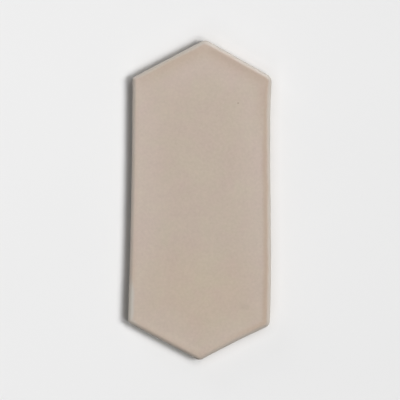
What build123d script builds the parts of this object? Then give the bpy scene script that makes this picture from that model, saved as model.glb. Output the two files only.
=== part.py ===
from build123d import *
import os

# Hand-pressed ceramic picket tile, lying on its back: face up, long axis along Y, millimetres.
# The origin is the middle of its bounding box, on the level it rests on.

# The true picket that the press is cut to
body_width = 76.0  # across the two long sides
shoulder_length = 134.0  # along a long side, from corner to corner
point_rise = 20.2  # each point beyond its own two shoulders
thickness = 9.5

# How far each corner pulled away from the true picket as the clay dried and fired, in x and y
head_pull = (2.9, 0.3)
head_right_pull = (1.2, -0.1)
foot_right_pull = (0.0, -1.2)
foot_pull = (0.0, 0.0)
foot_left_pull = (-1.1, 0.6)
head_left_pull = (1.2, -0.4)

# How far the sides bow out of straight at a stated share of their length: outwards is positive
left_bow = -0.57
foot_left_bow = 0.15
foot_right_bow = -0.35
right_waist_bow = -0.49
right_waist_share = 0.32
right_belly_bow = 0.54
right_belly_share = 0.81

# The rim where the glazed face rolls over into the sides, and the bevel fettled round the back
rim_radius = 2.0
back_bevel = 0.6

# Each corner turns wider than the rim by its own amount, so the rim sweeps round it unbroken
head_softness = 2.5
head_right_softness = 2.5
foot_right_softness = 2.0
foot_softness = 0.8
foot_left_softness = 0.2
head_left_softness = 0.2

# Keying grooves pressed into the back, running the long way and stopping short of the edge
key_count = 5
key_pitch = 12.0
key_width = 6.0
key_depth = 0.8
key_margin = 14.0
key_root_radius = 0.3

half_width = body_width / 2
half_shoulder = shoulder_length / 2
point_reach = half_shoulder + point_rise


def pulled(x, y, pull):
    """A corner of the true picket, moved by its own pull."""
    return Vector(x + pull[0], y + pull[1])


def bowed(start, end, bow, share=0.5):
    """The point at this share of a side, moved off its chord by the bow. Sides run clockwise."""
    chord = end - start
    outward = Vector(-chord.Y, chord.X).normalized()
    return start + chord * share + outward * bow


head = pulled(0, point_reach, head_pull)
head_right = pulled(half_width, half_shoulder, head_right_pull)
foot_right = pulled(half_width, -half_shoulder, foot_right_pull)
foot = pulled(0, -point_reach, foot_pull)
foot_left = pulled(-half_width, -half_shoulder, foot_left_pull)
head_left = pulled(-half_width, half_shoulder, head_left_pull)

corner_softness = [
    (head, head_softness),
    (head_right, head_right_softness),
    (foot_right, foot_right_softness),
    (foot, foot_softness),
    (foot_left, foot_left_softness),
    (head_left, head_left_softness),
]


def key_length(x):
    """A groove's length where it lies: longest under the points, shorter towards the sides."""
    reach = half_shoulder + point_rise * (1 - abs(x) / half_width)
    return 2 * (reach - key_margin)


# The pressed slab, drawn about the middle of the press
with BuildPart() as slab:
    with BuildSketch():
        with BuildLine():
            Line(head, head_right)
            Spline(
                head_right,
                bowed(head_right, foot_right, right_waist_bow, right_waist_share),
                bowed(head_right, foot_right, right_belly_bow, right_belly_share),
                foot_right,
            )
            ThreePointArc(foot_right, bowed(foot_right, foot, foot_right_bow), foot)
            ThreePointArc(foot, bowed(foot, foot_left, foot_left_bow), foot_left)
            ThreePointArc(foot_left, bowed(foot_left, head_left, left_bow), head_left)
            Line(head_left, head)
        make_face()
    extrude(amount=thickness)

    for corner, softness in corner_softness:
        upright = slab.edges().filter_by(Axis.Z).sort_by_distance(corner)[0]
        fillet(upright, rim_radius + softness)

    fillet(slab.faces().sort_by(Axis.Z)[-1].edges(), rim_radius)
    chamfer(slab.faces().sort_by(Axis.Z)[0].edges(), back_bevel)

    key_centres = [(i - (key_count - 1) / 2) * key_pitch for i in range(key_count)]
    with BuildSketch():
        for x in key_centres:
            with Locations((x, 0)):
                SlotOverall(key_length(x), key_width, rotation=90)
    extrude(amount=key_depth, mode=Mode.SUBTRACT)
    key_roots = slab.faces().filter_by(Plane.XY).filter_by_position(Axis.Z, key_depth, key_depth)
    fillet(key_roots.edges(), key_root_radius)

middle = slab.part.bounding_box().center()

# The finished tile, set so that the middle of its box is at the origin
with BuildPart(Plane((-middle.X, -middle.Y, 0))) as picket_tile:
    add(slab.part)

os.makedirs("parts", exist_ok=True)
picket_tile.part.label = "picket_tile"
export_step(picket_tile.part, "parts/picket_tile.step")
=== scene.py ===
import math

import bmesh
import bpy
import numpy as np
from bpy.props import FloatProperty, FloatVectorProperty, PointerProperty
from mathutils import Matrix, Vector, noise


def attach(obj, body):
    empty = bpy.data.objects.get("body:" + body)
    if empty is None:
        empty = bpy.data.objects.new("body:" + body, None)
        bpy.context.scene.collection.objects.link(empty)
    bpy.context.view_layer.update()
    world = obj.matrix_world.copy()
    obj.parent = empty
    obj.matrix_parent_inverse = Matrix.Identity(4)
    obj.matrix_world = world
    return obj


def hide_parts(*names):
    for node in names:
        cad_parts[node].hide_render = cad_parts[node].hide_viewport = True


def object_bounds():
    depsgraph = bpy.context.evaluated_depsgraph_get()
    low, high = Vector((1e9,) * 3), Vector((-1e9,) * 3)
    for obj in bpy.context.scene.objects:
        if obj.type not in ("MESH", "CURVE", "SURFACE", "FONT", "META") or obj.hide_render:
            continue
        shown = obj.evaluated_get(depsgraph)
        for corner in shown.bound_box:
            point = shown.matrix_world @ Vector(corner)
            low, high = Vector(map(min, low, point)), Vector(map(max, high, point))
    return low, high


bl_info = {
    "name": "Picket Tile",
    "version": (1, 0, 0),
    "blender": (4, 5, 0),
    "location": "View3D > Sidebar > Picket Tile",
    "description": "Hand-pressed picket tile with a satin glaze and a bare clay back, on a pale studio floor",
    "category": "Add Mesh",
}

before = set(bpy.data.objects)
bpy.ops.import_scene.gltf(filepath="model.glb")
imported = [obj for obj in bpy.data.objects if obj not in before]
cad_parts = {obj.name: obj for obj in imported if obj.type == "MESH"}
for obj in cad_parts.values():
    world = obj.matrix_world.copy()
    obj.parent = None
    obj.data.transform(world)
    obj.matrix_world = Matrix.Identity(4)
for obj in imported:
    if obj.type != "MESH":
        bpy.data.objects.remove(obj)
cad_low, cad_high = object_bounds()

MM = 0.001
TILE_NODE = "picket_tile"
TILE_BODY = "root"

# The mesh keeps for each point how many millimetres it lies in from the edge, less than 0 down the walls
RIM_DISTANCE = "rim_distance"


def linear(hex_colour):
    """An sRGB colour written as six hex digits, as the linear values that Blender keeps."""
    values = [int(hex_colour[i : i + 2], 16) / 255 for i in (0, 2, 4)]
    return tuple(v / 12.92 if v <= 0.04045 else ((v + 0.055) / 1.055) ** 2.4 for v in values)


def smooth_step(value, start, end):
    """0 before start, 1 past end and an even ease between them, for single numbers or arrays."""
    share = np.clip((value - start) / (end - start), 0.0, 1.0)
    return share * share * (3 - 2 * share)


def length(name, default_mm, description):
    """A length that the sidebar shows in millimetres."""
    return FloatProperty(
        name=name, description=description, default=default_mm * MM, min=0, unit="LENGTH", precision=5
    )


def colour(name, hex_colour, description):
    """A colour that the sidebar shows as a swatch."""
    return FloatVectorProperty(
        name=name, description=description, default=linear(hex_colour), size=3, min=0, max=1, subtype="COLOR"
    )


def light_share(name, default, description):
    """A share of the plain light, under which a colour renders about as it is written."""
    return FloatProperty(
        name=name, description=description, default=default, min=0, soft_max=2, subtype="FACTOR"
    )


class PicketTileShape(bpy.types.PropertyGroup):
    """Relief of the fired surface, over the plain form that the CAD tile gives."""

    rim_width: length("Rim width", 1.98, "How far in from the edge the rim rolls over, seen from above")
    rim_drop: length("Rim drop", 2.1, "How far the rim falls from the face to the side walls")
    rim_fullness: FloatProperty(
        name="Rim fullness",
        description="2 rolls the rim over as a quarter circle, and less flattens it towards a bevel",
        default=1.95,
        min=1.0,
        max=3.0,
    )
    dish_depth: length("Dish depth", 0.07, "How far the field of the face lies below its rim")
    dish_width: length("Dish width", 4.0, "How far in from the rim the face reaches the level of its field")
    sway_height: length("Sway height", 0.12, "Depth of the slow swells that hand pressing leaves in the face")
    sway_span: length("Sway span", 42, "Distance from one swell to the next")
    shrink: length("Shrink", 0.09, "How far the fired edges lie in from the plain form")
    corner_press: length("Corner press", 0.16, "How much further in they lie round the upper left corner")
    corner_reach: length("Corner reach", 85, "How far from that corner the edges are pressed in")
    wander: length("Edge wander", 0.08, "How far the edges stray from their line, seen from above")
    wander_span: length("Wander span", 13, "Distance from one stray of the edge to the next")
    bare_foot: length("Bare foot", 2.4, "Height of the bare clay below the glaze line on the side walls")
    glaze_run: length("Glaze run", 0.9, "How far the glaze line runs up and down along the walls")
    glaze_thickness: length("Glaze thickness", 0.14, "How far the glaze stands out from the bare clay")
    fuller_reach: length("Fuller reach", 17, "How far the rim's fuller stretch reaches along the left edge")
    pinhole_radius: length("Pinhole radius", 0.26, "Radius of a pinhole where a bubble burst in the glaze")
    pinhole_depth: length("Pinhole depth", 0.3, "Depth of a pinhole")
    facet: length("Facet size", 1.0, "Spacing of the mesh over the face and along the edges")


class PicketTileFinish(bpy.types.PropertyGroup):
    """Colours of the glaze and of the clay under it."""

    edge_tone: colour("Glaze near the rim", "B8A89B", "Glaze colour a little way in from the rim")
    middle_tone: colour("Glaze in the middle", "B3A394", "Glaze colour where it lies thickest")
    foot_tone: colour("Glaze at the foot", "B5A492", "Warmer glaze colour towards the foot point")
    thin_tone: colour("Thin glaze", "A9917C", "Warm line where the glaze thins out inside the rim")
    # The break tone also carries painted highlight, full on the upper right of the rim
    break_and_highlight_tone: colour("Glaze break", "B6AFA6", "Paler glaze where it breaks over the rim")
    clay_tone: colour("Clay", "C6B59D", "Bare fired clay of the foot and the back")
    clay_stain: colour("Clay stain", "A8927A", "Darker stain in the bare clay")


class PicketTileStudio(bpy.types.PropertyGroup):
    """Floor, lamps and camera."""

    floor_tone: colour("Floor", "EAEAEA", "Colour of the pale studio floor")
    tile_light: light_share("Tile light", 0.875, "Share of plain light that the softboxes give the tile")
    floor_light: light_share("Floor light", 1.0, "Share of plain light that the softboxes give the floor")
    room_light: light_share("Room light", 0.08, "Share of plain light from the room")
    glint: FloatProperty(
        name="Glint", description="Brightness of the card that glints in the rim", default=2.2, min=0
    )
    picture_width: length("Picture width", 217.4, "Width of floor that the camera takes in")


# The picture: its width, and the pixels across and down from its upper left corner
# where the tile's middle, the pinhole and the faint smudge lie
PICTURE_PIXELS = 400
TILE_MIDDLE_PIXEL = (199.25, 199.55)
PINHOLE_PIXEL = (237.3, 103.0)
SMUDGE_PIXEL = (244.0, 306.0)

# Edges that turn by more than this stay sharp, as round the keys of the back
SHARP_ANGLE = math.radians(38)

# The height at which the tile's outline is widest, where the camera takes in the picture's width
EDGE_HEIGHT = 7 * MM

# The bevelled lower edge of the CAD tile is kept up to this height
BACK_HEIGHT = 1.0 * MM

# The stretch of the left edge, above its foot corner, where the rim rolls over less: its middle,
# the share of its reach over which it is fullest, and the share of the rim's fall that is missing there
FULLER_PLACE = (-39 * MM, -56 * MM)
FULLER_CORE = 0.3
FULLER_LIFT = 0.3

# The upper left corner, round which the edges were pressed in
PRESSED_PLACE = (-32 * MM, 66 * MM)

# Softboxes that light the tile, and others that light the floor alone, because the soft shadow in the picture
# comes from light further round to the right than the light on the tile. Each has its name, then its azimuth,
# lean off upright and half angle in degrees, and its share of the light
TILE_SOFTBOXES = (
    ("tile_softbox", 59, 25, 15, 0.895),
    ("head_strip", 60, 77, 10, 0.03),
    ("right_strip", -22, 78, 10, 0.055),
    ("left_wash", 160, 60, 15, 0.025),
)
FLOOR_SOFTBOXES = (
    ("right_softbox", 0, 25.3, 7, 0.293),
    ("right_low_softbox", 0, 32.6, 7, 0.277),
    ("head_softbox", 49, 25, 7, 0.147),
    ("foot_softbox", -38, 28, 7, 0.178),
    ("head_wash", 125, 70, 14, 0.039),
    ("foot_wash", -104, 52, 12, 0.058),
)

# The card that shows in gloss alone: its azimuth, lean and half angle in degrees
GLINT_CARD = (62, 72, 27)

# From the tile's middle to every softbox, in metres
SOFTBOX_DISTANCE = 5.0


class Outline:
    """The tile's edge seen from above: the line that its upright walls stand on."""

    def __init__(self, edges):
        ends = np.array([[v.co[:2] for v in edge.verts] for edge in edges])
        self.start = ends[:, 0]
        self.along = ends[:, 1] - ends[:, 0]
        self.middle = self.start.mean(axis=0)

    def nearest(self, points):
        """For each point seen from above: its distance from the edge, and the way out through the edge."""
        points = np.asarray(points)[:, :2]
        distance = np.empty(len(points))
        outward = np.empty_like(points)

        # In batches, because every point is held against every stretch of the edge
        batch = 2000
        for first in range(0, len(points), batch):
            some = points[first : first + batch, None, :]
            offset = some - self.start
            share = (offset * self.along).sum(-1) / (self.along**2).sum(-1)
            gap = offset - np.clip(share, 0, 1)[..., None] * self.along
            squared = (gap**2).sum(-1)
            best = squared.argmin(axis=1)
            rows = slice(first, first + len(some))
            distance[rows] = np.sqrt(squared[np.arange(len(some)), best])
            normal = self.along[best][:, ::-1] * (1, -1)
            normal /= np.linalg.norm(normal, axis=1, keepdims=True)
            facing = np.sign(((points[rows] - self.middle) * normal).sum(-1))
            outward[rows] = normal * facing[:, None]
        return distance, outward


def swell(point, span, seed):
    """Smooth noise from -1 to 1 over the plan, whose swells lie this far apart."""
    return noise.noise(Vector((point[0] / span, point[1] / span, seed)))


def start_from_back(shape):
    """The lower edge of the CAD tile, with its keyed back: cut off above its bevel and closed by a flat cap.
    Returns the mesh, the outline of the cut and the cap."""
    bm = bmesh.new()
    bm.from_mesh(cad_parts[TILE_NODE].data)
    bmesh.ops.remove_doubles(bm, verts=bm.verts, dist=0.002 * MM)
    bmesh.ops.bisect_plane(
        bm,
        geom=bm.verts[:] + bm.edges[:] + bm.faces[:],
        dist=0.0001 * MM,
        plane_co=(0, 0, BACK_HEIGHT),
        plane_no=(0, 0, 1),
        clear_outer=True,
    )

    # Points crowd together where the CAD corners turn, and stand far apart along the sides
    crowded = [v for v in bm.verts if v.is_boundary]
    bmesh.ops.remove_doubles(bm, verts=crowded, dist=shape.facet / 10)
    for edge in [e for e in bm.edges if e.is_boundary]:
        cuts = int(edge.calc_length() / shape.facet)
        if cuts:
            bmesh.ops.subdivide_edges(bm, edges=[edge], cuts=cuts)
    rim_edges = [e for e in bm.edges if e.is_boundary]
    outline = Outline(rim_edges)
    cap = bmesh.ops.edgeloop_fill(bm, edges=rim_edges)["faces"][0]
    return bm, outline, cap


def raise_cap(bm, cap, rise):
    """Draws the cap straight up by this much, with a new ring of wall under it."""
    made = bmesh.ops.extrude_face_region(bm, geom=[cap])["geom"]
    bmesh.ops.delete(bm, geom=[cap], context="FACES_ONLY")
    raised = next(item for item in made if isinstance(item, bmesh.types.BMFace))
    bmesh.ops.translate(bm, verts=raised.verts, vec=(0, 0, rise))
    return raised


def roll_rim(bm, cap, shape, steps):
    """Rolls the rim over from the walls to the face, in this many steps."""
    power = 2 / shape.rim_fullness
    inward = rise = 0.0
    for step in range(1, steps + 1):
        turn = step / steps * math.pi / 2
        next_inward = shape.rim_width * (1 - math.cos(turn) ** power)
        next_rise = shape.rim_drop * math.sin(turn) ** power
        bmesh.ops.inset_region(
            bm,
            faces=[cap],
            thickness=next_inward - inward,
            depth=next_rise - rise,
            use_even_offset=True,
            use_boundary=True,
        )
        inward, rise = next_inward, next_rise

    # Inside a tight corner the last rings crowd together, so their points are merged there
    last_rings = cap.verts[0].co.z - 0.2 * shape.rim_drop
    crowded = [v for v in bm.verts if v.co.z > last_rings]
    bmesh.ops.remove_doubles(bm, verts=crowded, dist=shape.facet / 6)
    return max(bm.faces, key=lambda face: face.calc_area())


def rule_face(bm, cap, shape):
    """Divides the flat cap into a grid of small faces."""
    region = [cap] + cap.edges[:] + cap.verts[:]
    left, right = min(v.co.x for v in cap.verts), max(v.co.x for v in cap.verts)
    foot, head = cad_low.y + 2 * shape.rim_width, cad_high.y - 2 * shape.rim_width

    # No line runs beside the rim, and one that would pass closer by a point than this runs through it
    snap = 0.04 * MM
    for across, low, high in ((Vector((1, 0, 0)), left, right), (Vector((0, 1, 0)), foot, head)):
        lines = int((high - low) / shape.facet)
        for line in range(2, lines - 1):
            place = across * (low + (high - low) * line / lines)
            cut = bmesh.ops.bisect_plane(bm, geom=region, dist=snap, plane_co=place, plane_no=across)
            region = cut["geom"]


def on_face(pixel):
    """Where this pixel of the photograph lies on the tile's face."""
    scale = bpy.context.scene.picket_tile_studio.picture_width / PICTURE_PIXELS
    across = pixel[0] - TILE_MIDDLE_PIXEL[0]
    down = pixel[1] - TILE_MIDDLE_PIXEL[1]
    return Vector((across * scale, -down * scale, cad_high.z))


def refine_round(bm, place, reaches, cuts):
    """Makes the mesh finer round a place, within each of these distances in turn."""
    for reach in reaches:
        near = [e for e in bm.edges if all((v.co - place).length < reach for v in e.verts)]
        bmesh.ops.subdivide_edges(bm, edges=near, cuts=cuts, use_grid_fill=True)


def relief(bm, outline, shape, wall_top, pinhole):
    """Moves every point of the plain form to where pressing, glazing and firing left it."""
    # What the rim shares of the swells, and how strong and how long the finer swells and strays are
    # against the main ones
    rim_sway = 0.35
    short_sway, short_span = 0.25, 1 / 2.6
    fine_wander, fine_span = 0.35, 1 / 3
    verts = bm.verts[:]
    plan = np.array([v.co for v in verts])
    distance, outward = outline.nearest(plan)
    mark = bm.verts.layers.float[RIM_DISTANCE]
    field = smooth_step(distance, shape.rim_width * 0.8, shape.rim_width + shape.dish_width)
    from_fuller = np.linalg.norm(plan[:, :2] - FULLER_PLACE, axis=1)
    fuller = 1 - smooth_step(from_fuller, FULLER_CORE * shape.fuller_reach, shape.fuller_reach)
    from_pressed = np.linalg.norm(plan[:, :2] - PRESSED_PLACE, axis=1)
    drawn_in = shape.shrink + shape.corner_press * (1 - smooth_step(from_pressed, 0, shape.corner_reach))
    drawn_in *= 1 - smooth_step(distance, shape.rim_width, shape.rim_width + shape.dish_width)
    for index, vert in enumerate(verts):
        place = plan[index]
        z = place[2]
        vert[mark] = (distance[index] - max(0.0, wall_top - z)) / MM

        # The face sinks in a shallow dish with slow swells
        long_swell = (1 + swell(place, shape.sway_span, 3.1)) / 2
        short_swell = (1 + swell(place, shape.sway_span * short_span, 8.4)) / 2
        sway = shape.sway_height * ((1 - short_sway) * long_swell + short_sway * short_swell)
        sunk = field[index] * shape.dish_depth
        sunk += (rim_sway + (1 - rim_sway) * field[index]) * sway
        hole = math.exp(-(((Vector(place) - pinhole).length / shape.pinhole_radius) ** 2))
        sunk += hole * shape.pinhole_depth
        sunk -= FULLER_LIFT * fuller[index] * (cad_high.z - z)
        vert.co.z -= sunk * smooth_step(z, shape.bare_foot, wall_top)

        # The edges stray and draw in from their line
        span = shape.wander_span
        stray = Vector((swell(place, span, 21.7), swell(place, span, 47.3), 0))
        span *= fine_span
        stray += fine_wander * Vector((swell(place, span, 33.9), swell(place, span, 52.6), 0))
        vert.co += stray * shape.wander * smooth_step(z, 0.3 * shape.bare_foot, shape.bare_foot)
        vert.co.xy -= Vector(outward[index] * drawn_in[index])


def glaze_line(shape, place):
    """Height of the glaze's lower edge on the wall at this place: long runs with short ones among them."""
    run = 0.7 * swell(place, 16 * MM, 71.2) + 0.3 * swell(place, 5 * MM, 90.5)
    return shape.bare_foot + shape.glaze_run * run


def keep_inside_cad(bm):
    """Draws the mesh in, so that nothing stands outside the CAD tile's own box."""
    for axis in range(3):
        low = min(v.co[axis] for v in bm.verts)
        high = max(v.co[axis] for v in bm.verts)
        scale = min(1.0, (cad_high[axis] - cad_low[axis]) / (high - low))
        shift = max(cad_low[axis] - low * scale, 0) + min(cad_high[axis] - high * scale, 0)
        for vert in bm.verts:
            vert.co[axis] = vert.co[axis] * scale + shift


def model_tile(shape):
    """The whole tile as one closed mesh, with the bare clay as its second material."""
    wall_top = cad_high.z - shape.rim_drop
    bead = shape.glaze_thickness
    bm, outline, cap = start_from_back(shape)
    bm.verts.layers.float.new(RIM_DISTANCE)

    # The walls rise to the glaze line, over the rounded lip of the glaze and on to the rim
    cap = raise_cap(bm, cap, shape.bare_foot - BACK_HEIGHT)
    for vert in cap.verts:
        vert.co.z = glaze_line(shape, vert.co)
    above_lip = max(v.co.z for v in cap.verts) + 2.8 * bead
    for rise in (0.5 * bead, 0.9 * bead):
        cap = raise_cap(bm, cap, rise)
    for level in np.linspace(above_lip, wall_top, 6):
        cap = raise_cap(bm, cap, 0.0)
        for vert in cap.verts:
            vert.co.z = level

    # The bare clay of the walls and the bevel stands back from the glaze, and the back stays where it is
    clay = [v for v in bm.verts if v.co.z <= glaze_line(shape, v.co) + 0.1 * bead]
    distance, outward = outline.nearest([v.co for v in clay])
    inward = bead * (1 - smooth_step(distance, 0.5 * MM, 3 * MM))
    for vert, way, amount in zip(clay, outward, inward):
        vert.co.xy -= Vector(way * amount)
    for face in bm.faces:
        middle = face.calc_center_median()
        if middle.z < glaze_line(shape, middle):
            face.material_index = 1

    cap = roll_rim(bm, cap, shape, steps=9)
    rule_face(bm, cap, shape)
    pinhole = on_face(PINHOLE_PIXEL)
    refine_round(bm, pinhole, (2.2 * MM, 1.0 * MM), cuts=2)
    relief(bm, outline, shape, wall_top, pinhole)
    keep_inside_cad(bm)
    bmesh.ops.recalc_face_normals(bm, faces=bm.faces)
    return bm


def node(tree, kind, inputs=None, **settings):
    """Adds a node, sets its properties, and links or fills its inputs."""
    made = tree.nodes.new(kind)
    for name, value in settings.items():
        setattr(made, name, value)
    for key, value in (inputs or {}).items():
        if isinstance(value, bpy.types.NodeSocket):
            tree.links.new(value, made.inputs[key])
        else:
            made.inputs[key].default_value = value
    return made


def per_metre(span_mm):
    """A noise texture's scale for spots that lie this many millimetres apart."""
    return 1 / (span_mm * MM)


def rgba(tone):
    """A colour with full cover."""
    return (*tone, 1.0)


def new_material(name):
    """An empty node material, its tree and the place on the object in metres."""
    material = bpy.data.materials.new(name)
    material.use_nodes = True
    tree = material.node_tree
    tree.nodes.clear()
    place = node(tree, "ShaderNodeTexCoord").outputs["Object"]
    return material, tree, place


def poured_tone(tree, finish, place, along, rim):
    """The glaze lies thicker towards the middle, and warms towards the foot."""
    drift = node(
        tree, "ShaderNodeTexNoise", {"Vector": place, "Scale": per_metre(26), "Detail": 2.0}
    ).outputs["Fac"]
    drift = node(tree, "ShaderNodeMapRange", {"Value": drift, "To Min": -9.0, "To Max": 9.0}).outputs["Result"]
    depth = node(tree, "ShaderNodeMath", {0: rim, 1: drift}, operation="ADD").outputs[0]
    depth = node(
        tree,
        "ShaderNodeMapRange",
        {"Value": depth, "From Min": 5.0, "From Max": 24.0},
        interpolation_type="SMOOTHSTEP",
    ).outputs["Result"]
    tone = node(
        tree,
        "ShaderNodeMix",
        {"Factor": depth, 6: rgba(finish.edge_tone), 7: rgba(finish.middle_tone)},
        data_type="RGBA",
    ).outputs[2]
    drift_along = node(
        tree, "ShaderNodeMath", {0: drift, 1: 2 * MM, 2: along}, operation="MULTIPLY_ADD"
    ).outputs[0]
    foot = node(
        tree,
        "ShaderNodeMapRange",
        {"Value": drift_along, "From Min": -16 * MM, "From Max": -46 * MM, "To Max": 0.85},
        interpolation_type="SMOOTHSTEP",
    ).outputs["Result"]
    off_rim = node(tree, "ShaderNodeMapRange", {"Value": depth, "To Min": 0.35}).outputs["Result"]
    foot = node(tree, "ShaderNodeMath", {0: foot, 1: off_rim}, operation="MULTIPLY").outputs[0]
    return node(
        tree, "ShaderNodeMix", {"Factor": foot, 6: tone, 7: rgba(finish.foot_tone)}, data_type="RGBA"
    ).outputs[2]


def fired_tone(tree, tone, place, clouds):
    """Clouds a few millimetres across and fine specks, with painted shade in the pinhole, one faint smudge and
    soft shifts of hue."""
    # Most real specks are finer than a pixel, so they are drawn as coarse as they need to show
    specks = node(
        tree, "ShaderNodeTexNoise", {"Vector": place, "Scale": per_metre(1.5), "Detail": 3.0, "Roughness": 0.6}
    ).outputs["Fac"]
    value = node(
        tree, "ShaderNodeMapRange", {"Value": clouds, "To Min": 0.95, "To Max": 1.05}
    ).outputs["Result"]
    fine = node(
        tree, "ShaderNodeMapRange", {"Value": specks, "To Min": 0.90, "To Max": 1.10}
    ).outputs["Result"]
    value = node(tree, "ShaderNodeMath", {0: value, 1: fine}, operation="MULTIPLY").outputs[0]

    # Painted shade: the colour darkens in the pinhole, where its hollow lies in shade
    from_pinhole = node(
        tree, "ShaderNodeVectorMath", {0: place, 1: on_face(PINHOLE_PIXEL)}, operation="DISTANCE"
    ).outputs["Value"]
    hole = node(
        tree,
        "ShaderNodeMapRange",
        {"Value": from_pinhole, "From Min": 0.15 * MM, "From Max": 0.5 * MM, "To Min": 0.42},
    ).outputs["Result"]
    value = node(tree, "ShaderNodeMath", {0: value, 1: hole}, operation="MULTIPLY").outputs[0]

    offset = node(
        tree, "ShaderNodeVectorMath", {0: place, 1: on_face(SMUDGE_PIXEL)}, operation="SUBTRACT"
    ).outputs["Vector"]
    flattened = node(
        tree, "ShaderNodeVectorMath", {0: offset, 1: (1.0, 1.8, 0.0)}, operation="MULTIPLY"
    ).outputs["Vector"]
    from_smudge = node(tree, "ShaderNodeVectorMath", {0: flattened}, operation="LENGTH").outputs["Value"]
    smudge = node(
        tree,
        "ShaderNodeMapRange",
        {"Value": from_smudge, "From Min": 1.0 * MM, "From Max": 4.8 * MM, "To Min": 0.94},
        interpolation_type="SMOOTHSTEP",
    ).outputs["Result"]
    value = node(tree, "ShaderNodeMath", {0: value, 1: smudge}, operation="MULTIPLY").outputs[0]

    hue = node(
        tree, "ShaderNodeTexNoise", {"Vector": place, "Scale": per_metre(12), "Detail": 3.0, "Distortion": 0.6}
    ).outputs["Fac"]
    hue = node(tree, "ShaderNodeMapRange", {"Value": hue, "To Min": 0.474, "To Max": 0.526}).outputs["Result"]
    return node(
        tree, "ShaderNodeHueSaturation", {"Hue": hue, "Value": value, "Color": tone}
    ).outputs["Color"]


def thinned_tone(tree, finish, tone, across, along, rim):
    """A warm line where the glaze thins just inside the rim, strongest to the right, where painted shade
    deepens it, and a wider warm band under the head point. All its distances are millimetres in from the edge."""
    thin_in = node(
        tree,
        "ShaderNodeMapRange",
        {"Value": rim, "From Min": 0.7, "From Max": 2.0},
        interpolation_type="SMOOTHSTEP",
    ).outputs["Result"]
    thin_out = node(
        tree,
        "ShaderNodeMapRange",
        {"Value": rim, "From Min": 2.7, "From Max": 5.6, "To Min": 1.0, "To Max": 0.0},
        interpolation_type="SMOOTHSTEP",
    ).outputs["Result"]
    thin_glaze_and_shade = node(tree, "ShaderNodeMath", {0: thin_in, 1: thin_out}, operation="MULTIPLY").outputs[0]
    # Painted shade: the thin line grows stronger towards the right, where the rim's inner slope turns from the
    # light
    right_side_shade = node(
        tree,
        "ShaderNodeMapRange",
        {"Value": across, "From Min": 10 * MM, "From Max": cad_high.x, "To Min": 0.12, "To Max": 0.6},
    ).outputs["Result"]
    thin_glaze_and_shade = node(tree, "ShaderNodeMath", {0: thin_glaze_and_shade, 1: right_side_shade}, operation="MULTIPLY").outputs[0]

    head_out = node(
        tree,
        "ShaderNodeMapRange",
        {"Value": rim, "From Min": 3.0, "From Max": 13.0, "To Min": 1.0, "To Max": 0.0},
        interpolation_type="SMOOTHSTEP",
    ).outputs["Result"]
    head_slope = node(
        tree, "ShaderNodeMath", {0: across, 1: 0.4, 2: along}, operation="MULTIPLY_ADD"
    ).outputs[0]
    head = node(
        tree,
        "ShaderNodeMapRange",
        {"Value": head_slope, "From Min": 36 * MM, "From Max": 72 * MM, "To Max": 0.40},
        interpolation_type="SMOOTHSTEP",
    ).outputs["Result"]
    head = node(tree, "ShaderNodeMath", {0: head, 1: head_out}, operation="MULTIPLY").outputs[0]
    head = node(tree, "ShaderNodeMath", {0: head, 1: thin_in}, operation="MULTIPLY").outputs[0]
    thin_glaze_and_shade = node(tree, "ShaderNodeMath", {0: head, 1: thin_glaze_and_shade}, operation="MAXIMUM").outputs[0]
    return node(
        tree, "ShaderNodeMix", {"Factor": thin_glaze_and_shade, 6: tone, 7: rgba(finish.thin_tone)}, data_type="RGBA"
    ).outputs[2]


def rim_break_and_highlight(tree, finish, tone, place, across, along, rim, fuller_reach):
    """Paler glaze where it breaks over the rim, with painted highlight on top: faint to the lower left, full to
    the upper right, where the light comes from, and wider along the fuller stretch, where painted highlight
    stands in for the light caught by the flatter rim."""
    over_in = node(
        tree,
        "ShaderNodeMapRange",
        {"Value": rim, "From Min": -2.2, "From Max": -0.6},
        interpolation_type="SMOOTHSTEP",
    ).outputs["Result"]
    from_fuller = node(
        tree, "ShaderNodeVectorMath", {0: place, 1: (*FULLER_PLACE, cad_high.z)}, operation="DISTANCE"
    ).outputs["Value"]
    fuller = node(
        tree,
        "ShaderNodeMapRange",
        {
            "Value": from_fuller,
            "From Min": FULLER_CORE * fuller_reach,
            "From Max": fuller_reach,
            "To Min": 1.0,
            "To Max": 0.0,
        },
        interpolation_type="SMOOTHSTEP",
    ).outputs["Result"]
    # Painted highlight: along the fuller stretch the pale break is widened and strengthened, for the light that
    # the flatter rim catches there
    rim = node(tree, "ShaderNodeMath", {0: fuller, 1: -1.6, 2: rim}, operation="MULTIPLY_ADD").outputs[0]
    over_out = node(
        tree,
        "ShaderNodeMapRange",
        {"Value": rim, "From Min": 0.5, "From Max": 2.5, "To Min": 1.0, "To Max": 0.0},
        interpolation_type="SMOOTHSTEP",
    ).outputs["Result"]
    over = node(tree, "ShaderNodeMath", {0: over_in, 1: over_out}, operation="MULTIPLY").outputs[0]
    # Painted highlight: the break grows stronger towards the upper right, the side the light comes from, and
    # fainter to the lower left
    slope = node(tree, "ShaderNodeMath", {0: along, 1: 0.5, 2: across}, operation="MULTIPLY_ADD").outputs[0]
    break_and_highlight_share = node(
        tree,
        "ShaderNodeMapRange",
        {"Value": slope, "From Min": -60 * MM, "From Max": 40 * MM, "To Min": 0.4, "To Max": 0.9},
    ).outputs["Result"]
    break_and_highlight_share = node(
        tree, "ShaderNodeMath", {0: fuller, 1: 0.6, 2: break_and_highlight_share}, operation="MULTIPLY_ADD"
    ).outputs[0]
    over = node(tree, "ShaderNodeMath", {0: over, 1: break_and_highlight_share}, operation="MULTIPLY").outputs[0]
    return node(
        tree, "ShaderNodeMix", {"Factor": over, 6: tone, 7: rgba(finish.break_and_highlight_tone)}, data_type="RGBA"
    ).outputs[2]


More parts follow.
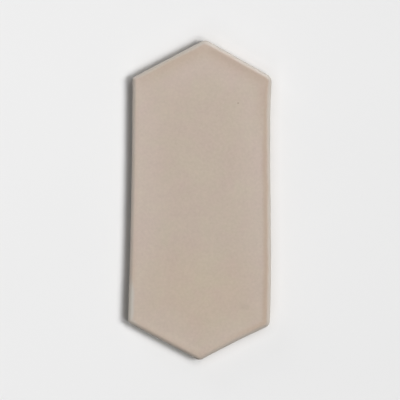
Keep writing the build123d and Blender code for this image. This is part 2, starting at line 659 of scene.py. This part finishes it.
def satin_glaze(finish, fuller_reach):
    """Satin glaze, poured over pressed clay and fired: soft gloss, slow drifts of tone from head to foot, a
    warm line where it thins inside the rim, deepened to the right with painted shade, and a paler break over
    the rim itself, with painted highlight on its upper right."""
    material, tree, place = new_material("satin_glaze")
    rim = node(tree, "ShaderNodeAttribute", attribute_name=RIM_DISTANCE).outputs["Fac"]
    plan = node(tree, "ShaderNodeSeparateXYZ", {"Vector": place})
    across, along = plan.outputs["X"], plan.outputs["Y"]
    tone = poured_tone(tree, finish, place, along, rim)
    clouds = node(
        tree, "ShaderNodeTexNoise", {"Vector": place, "Scale": per_metre(9), "Detail": 4.0, "Roughness": 0.6}
    ).outputs["Fac"]
    tone = fired_tone(tree, tone, place, clouds)

    # The rim's bands waver with the flow of the glaze, by up to 0.8 mm
    flow = node(
        tree, "ShaderNodeTexNoise", {"Vector": place, "Scale": per_metre(11), "Detail": 3.0}
    ).outputs["Fac"]
    flow = node(tree, "ShaderNodeMapRange", {"Value": flow, "To Min": -0.8, "To Max": 0.8}).outputs["Result"]
    rim = node(tree, "ShaderNodeMath", {0: rim, 1: flow}, operation="ADD").outputs[0]
    tone = thinned_tone(tree, finish, tone, across, along, rim)
    tone = rim_break_and_highlight(tree, finish, tone, place, across, along, rim, fuller_reach)

    # A satin gloss, a little drier in the clouds, over a skin with a slight orange peel
    rough = node(
        tree, "ShaderNodeMapRange", {"Value": clouds, "To Min": 0.40, "To Max": 0.54}
    ).outputs["Result"]
    peel = node(
        tree, "ShaderNodeTexNoise", {"Vector": place, "Scale": per_metre(2.4), "Detail": 3.0}
    ).outputs["Fac"]
    skin = node(
        tree, "ShaderNodeBump", {"Height": peel, "Strength": 1.0, "Distance": 0.03 * MM}
    ).outputs["Normal"]
    shader = node(
        tree, "ShaderNodeBsdfPrincipled", {"Base Color": tone, "Roughness": rough, "Normal": skin, "IOR": 1.5}
    )
    node(tree, "ShaderNodeOutputMaterial", {"Surface": shader.outputs[0]})
    return material


def fired_clay(finish):
    """Bare fired clay, pressed and left unglazed: dry and matt, with a sandy grain and soft stains."""
    material, tree, place = new_material("fired_clay")
    stain = node(
        tree, "ShaderNodeTexNoise", {"Vector": place, "Scale": per_metre(14), "Detail": 5.0, "Roughness": 0.65}
    ).outputs["Fac"]
    stain = node(
        tree, "ShaderNodeMapRange", {"Value": stain, "From Min": 0.42, "From Max": 0.8, "To Max": 0.7}
    ).outputs["Result"]
    tone = node(
        tree,
        "ShaderNodeMix",
        {"Factor": stain, 6: rgba(finish.clay_tone), 7: rgba(finish.clay_stain)},
        data_type="RGBA",
    ).outputs[2]

    # The sand in the clay, a little coarser than it is, so that it shows
    grain = node(
        tree, "ShaderNodeTexNoise", {"Vector": place, "Scale": per_metre(0.7), "Detail": 4.0, "Roughness": 0.7}
    ).outputs["Fac"]
    value = node(
        tree, "ShaderNodeMapRange", {"Value": grain, "To Min": 0.82, "To Max": 1.16}
    ).outputs["Result"]
    tone = node(tree, "ShaderNodeHueSaturation", {"Value": value, "Color": tone}).outputs["Color"]
    grit = node(
        tree, "ShaderNodeBump", {"Height": grain, "Strength": 1.0, "Distance": 0.12 * MM}
    ).outputs["Normal"]
    shader = node(
        tree, "ShaderNodeBsdfPrincipled", {"Base Color": tone, "Roughness": 0.88, "Normal": grit, "IOR": 1.5}
    )
    node(tree, "ShaderNodeOutputMaterial", {"Surface": shader.outputs[0]})
    return material


def pale_floor(studio):
    """Matt painted board that takes the tile's soft shadow, and darkens a little towards its lower right."""
    material, tree, place = new_material("matt_white_board")
    grain = node(
        tree, "ShaderNodeTexNoise", {"Vector": place, "Scale": per_metre(90), "Detail": 2.0}
    ).outputs["Fac"]
    plan = node(tree, "ShaderNodeSeparateXYZ", {"Vector": place})
    slope = node(
        tree, "ShaderNodeMath", {0: plan.outputs["Y"], 1: -0.36, 2: plan.outputs["X"]}, operation="MULTIPLY_ADD"
    ).outputs[0]
    fade = node(
        tree,
        "ShaderNodeMapRange",
        {"Value": slope, "From Min": -150 * MM, "From Max": 150 * MM, "To Min": 1.0, "To Max": 0.905},
    ).outputs["Result"]
    value = node(
        tree, "ShaderNodeMapRange", {"Value": grain, "To Min": 0.99, "To Max": 1.01}
    ).outputs["Result"]
    value = node(tree, "ShaderNodeMath", {0: value, 1: fade}, operation="MULTIPLY").outputs[0]
    tone = node(
        tree, "ShaderNodeHueSaturation", {"Value": value, "Color": rgba(studio.floor_tone)}
    ).outputs["Color"]

    # What lies close to the tile's walls gets less of the room's light
    nook = node(
        tree, "ShaderNodeAmbientOcclusion", {"Color": tone, "Distance": 6 * MM}, samples=12
    ).outputs["Color"]
    tone = node(tree, "ShaderNodeMix", {"Factor": 0.26, 6: tone, 7: nook}, data_type="RGBA").outputs[2]
    board = node(tree, "ShaderNodeBsdfDiffuse", {"Color": tone})
    node(tree, "ShaderNodeOutputMaterial", {"Surface": board.outputs[0]})
    return material


def show(name, bm, materials):
    """Makes the mesh an object in the scene, smooth but for its sharp edges, with these materials."""
    mesh = bpy.data.meshes.new(name)
    bm.to_mesh(mesh)
    bm.free()
    for material in materials:
        mesh.materials.append(material)
    mesh.shade_smooth()
    mesh.set_sharp_from_angle(angle=SHARP_ANGLE)
    piece = bpy.data.objects.new(name, mesh)
    bpy.context.scene.collection.objects.link(piece)
    return piece


class PICKETTILE_OT_tile(bpy.types.Operator):
    """Model the glazed tile over the CAD tile"""

    bl_idname = "picket_tile.tile"
    bl_label = "Glazed Tile"

    def execute(self, context):
        shape = context.scene.picket_tile_shape
        finish = context.scene.picket_tile_finish
        materials = [satin_glaze(finish, shape.fuller_reach), fired_clay(finish)]
        tile = show("glazed_picket_tile", model_tile(shape), materials)
        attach(tile, TILE_BODY)
        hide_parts(TILE_NODE)
        return {"FINISHED"}


def add_softbox(name, azimuth, lean, half_angle, level):
    """A round softbox, seen under twice the half angle and leaning off upright towards the azimuth,
    all in degrees; it gives level floor this share of the plain light."""
    azimuth, lean, half_angle = (math.radians(angle) for angle in (azimuth, lean, half_angle))
    radius = SOFTBOX_DISTANCE * math.tan(half_angle)
    lamp = bpy.data.lights.new(name, "AREA")
    lamp.shape = "DISK"
    lamp.size = 2 * radius
    lamp.energy = level * math.pi**2 * (SOFTBOX_DISTANCE**2 + radius**2) / math.cos(lean)
    box = bpy.data.objects.new(name, lamp)
    way = Vector((math.cos(azimuth) * math.sin(lean), math.sin(azimuth) * math.sin(lean), math.cos(lean)))
    box.location = way * SOFTBOX_DISTANCE
    box.rotation_mode = "QUATERNION"
    box.rotation_quaternion = way.to_track_quat("Z", "Y")
    box.visible_camera = False
    bpy.context.scene.collection.objects.link(box)
    return box


def add_glint_card(brightness):
    """A pale card that gives the rim its glint and lights nothing."""
    azimuth, lean, half_angle = GLINT_CARD
    share = math.sin(math.radians(half_angle)) ** 2 * math.cos(math.radians(lean))
    card = add_softbox("glint_card", azimuth, lean, half_angle, brightness * share)
    card.visible_diffuse = False


def receivers(name, piece, state):
    """A collection that keeps a lamp to this piece alone, or off it."""
    collection = bpy.data.collections.new(name)
    collection.objects.link(piece)
    collection.collection_objects[0].light_linking.link_state = state
    return collection


def light_room(studio):
    """A pale room that gives little light of its own, and shows pale to the camera, in gloss and
    through glass."""
    world = bpy.data.worlds.new("pale_room")
    bpy.context.scene.world = world
    world.use_nodes = True
    tree = world.node_tree
    tree.nodes.clear()
    light = node(tree, "ShaderNodeLightPath")
    seen = light.outputs["Is Camera Ray"]
    for ray in ("Is Glossy Ray", "Is Transmission Ray"):
        seen = node(tree, "ShaderNodeMath", {0: seen, 1: light.outputs[ray]}, operation="MAXIMUM").outputs[0]
    strength = node(
        tree, "ShaderNodeMapRange", {"Value": seen, "To Min": studio.room_light, "To Max": 0.85}
    ).outputs["Result"]
    room = node(tree, "ShaderNodeBackground", {"Color": (1, 1, 1, 1), "Strength": strength})
    node(tree, "ShaderNodeOutputWorld", {"Surface": room.outputs[0]})


def stand_camera(studio):
    """A long lens straight above the tile."""
    lens = bpy.data.cameras.new("overhead_camera")
    lens.lens = 500
    lens.clip_end = 20
    camera = bpy.data.objects.new("overhead_camera", lens)
    half_view = math.atan(lens.sensor_width / 2 / lens.lens)
    pixel = studio.picture_width / PICTURE_PIXELS
    middle = (PICTURE_PIXELS - 1) / 2
    camera.location = (
        (middle - TILE_MIDDLE_PIXEL[0]) * pixel,
        (TILE_MIDDLE_PIXEL[1] - middle) * pixel,
        EDGE_HEIGHT + studio.picture_width / 2 / math.tan(half_view),
    )
    bpy.context.scene.collection.objects.link(camera)
    bpy.context.scene.camera = camera


class PICKETTILE_OT_stage(bpy.types.Operator):
    """Lay the pale floor, hang the softboxes and stand the camera over the tile"""

    bl_idname = "picket_tile.stage"
    bl_label = "Studio Stage"

    def execute(self, context):
        studio = context.scene.picket_tile_studio
        bm = bmesh.new()
        bmesh.ops.create_circle(bm, cap_ends=True, segments=96, radius=6.0)

        # A hair below the tile, so that its back and the floor never lie in one plane
        bmesh.ops.translate(bm, verts=bm.verts, vec=(0, 0, -0.2 * MM))
        floor = show("studio_floor", bm, [pale_floor(studio)])
        for softboxes, light, lit, state in (
            (TILE_SOFTBOXES, studio.tile_light, "all_but_floor", "EXCLUDE"),
            (FLOOR_SOFTBOXES, studio.floor_light, "only_floor", "INCLUDE"),
        ):
            collection = receivers(lit, floor, state)
            for name, azimuth, lean, half_angle, share in softboxes:
                softbox = add_softbox(name, azimuth, lean, half_angle, share * light)
                softbox.light_linking.receiver_collection = collection
        add_glint_card(studio.glint)
        light_room(studio)
        stand_camera(studio)
        context.scene.view_settings.view_transform = "Standard"
        return {"FINISHED"}


class PICKETTILE_PT_panel(bpy.types.Panel):
    """Builds the tile and its stage, with their sizes and colours"""

    bl_idname = "PICKETTILE_PT_panel"
    bl_label = "Picket Tile"
    bl_space_type = "VIEW_3D"
    bl_region_type = "UI"
    bl_category = "Picket Tile"

    def draw(self, context):
        for settings, operator in (
            (context.scene.picket_tile_shape, None),
            (context.scene.picket_tile_finish, PICKETTILE_OT_tile.bl_idname),
            (context.scene.picket_tile_studio, PICKETTILE_OT_stage.bl_idname),
        ):
            column = self.layout.column()
            for name in settings.__annotations__:
                column.prop(settings, name)
            if operator:
                column.operator(operator)


classes = (
    PicketTileShape,
    PicketTileFinish,
    PicketTileStudio,
    PICKETTILE_OT_tile,
    PICKETTILE_OT_stage,
    PICKETTILE_PT_panel,
)


def register():
    for cls in classes:
        bpy.utils.register_class(cls)
    bpy.types.Scene.picket_tile_shape = PointerProperty(type=PicketTileShape)
    bpy.types.Scene.picket_tile_finish = PointerProperty(type=PicketTileFinish)
    bpy.types.Scene.picket_tile_studio = PointerProperty(type=PicketTileStudio)


def unregister():
    del bpy.types.Scene.picket_tile_studio
    del bpy.types.Scene.picket_tile_finish
    del bpy.types.Scene.picket_tile_shape
    for cls in reversed(classes):
        bpy.utils.unregister_class(cls)


def main():
    register()
    bpy.ops.picket_tile.tile()
    bpy.ops.picket_tile.stage()


if __name__ == "__main__":
    main()
